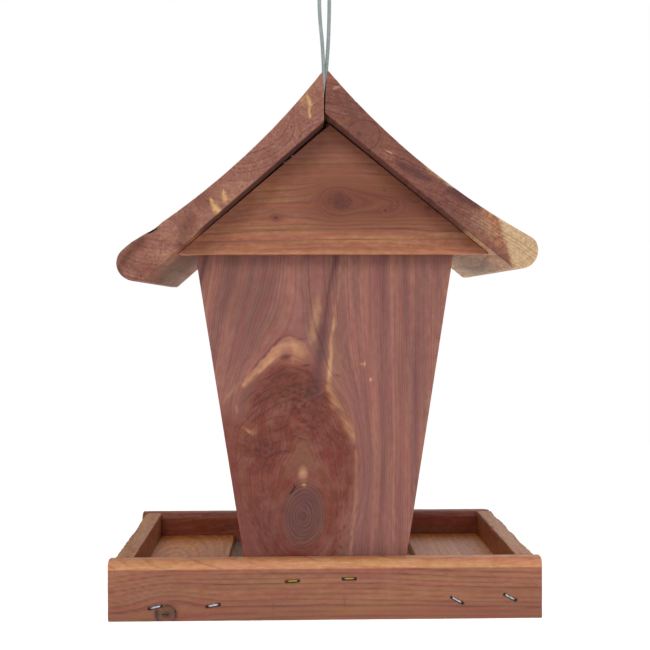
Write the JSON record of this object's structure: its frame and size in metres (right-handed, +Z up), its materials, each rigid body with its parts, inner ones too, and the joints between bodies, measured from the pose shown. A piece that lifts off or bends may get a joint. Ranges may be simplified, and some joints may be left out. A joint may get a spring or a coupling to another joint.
{
  "type": "hanging bird feeder",
  "caption": "Hanging hopper bird feeder in red cedar: tapered end boards and clear windows over a railed tray, under a scooped gable roof that slides up its hanging cord for filling.",
  "frame": {"origin": "centre of the tray's underside plane", "axes": "+X across the gable, +Y along the roof ridge away from the front end board, +Z up along the cord"},
  "size_m": [0.22, 0.184, 0.43],
  "materials": {
    "cedar_rail": "planed, unfinished red cedar",
    "cedar_floor": "planed, unfinished cedar sapwood",
    "cedar_end": "planed, unfinished red cedar with a knot",
    "cedar_roof": "sawn, unfinished red cedar with sapwood at one eave",
    "cedar_gable": "planed, unfinished red cedar with horizontal grain",
    "screen": "dull woven wire cloth",
    "acrylic": "clear acrylic sheet",
    "cord": "pale grey-green braid",
    "steel_staple": "galvanised wire",
    "brass_staple": "yellow-coated wire"
  },
  "bodies": {
    "hopper": {"tray_front_rail": "cedar_rail", "tray_rear_rail": "cedar_rail", "tray_left_rail": "cedar_rail", "tray_right_rail": "cedar_rail", "floor_board_left": "cedar_floor", "floor_board_right": "cedar_floor", "drain_screen": "screen", "end_board_front": "cedar_end", "end_board_rear": "cedar_end", "hanger_crossbar": "cedar_floor", "hanging_cord": "cord", "staples_floor": "steel_staple", "staples_end_boards": "brass_staple", "staples_side_rails": "steel_staple", "staples_crossbar": "steel_staple"},
    "roof": {"roof_panel_left": "cedar_roof", "roof_panel_right": "cedar_roof", "gable_front": "cedar_gable", "gable_rear": "cedar_gable", "staples_roof": "steel_staple"},
    "window_left": {"window_left": "acrylic"},
    "window_right": {"window_right": "acrylic"}
  },
  "joints": [
    {"name": "roof_lift", "type": "slide", "parent": "hopper", "child": "roof", "axis": [0, 0, 1], "range_m": [0, 0.11]},
    {"name": "window_left_slide", "type": "slide", "parent": "hopper", "child": "window_left", "axis": [-0.1538, 0, 0.9881], "range_m": [0, 0.01]},
    {"name": "window_right_slide", "type": "slide", "parent": "hopper", "child": "window_right", "axis": [0.1538, 0, 0.9881], "range_m": [0, 0.01]}
  ]
}
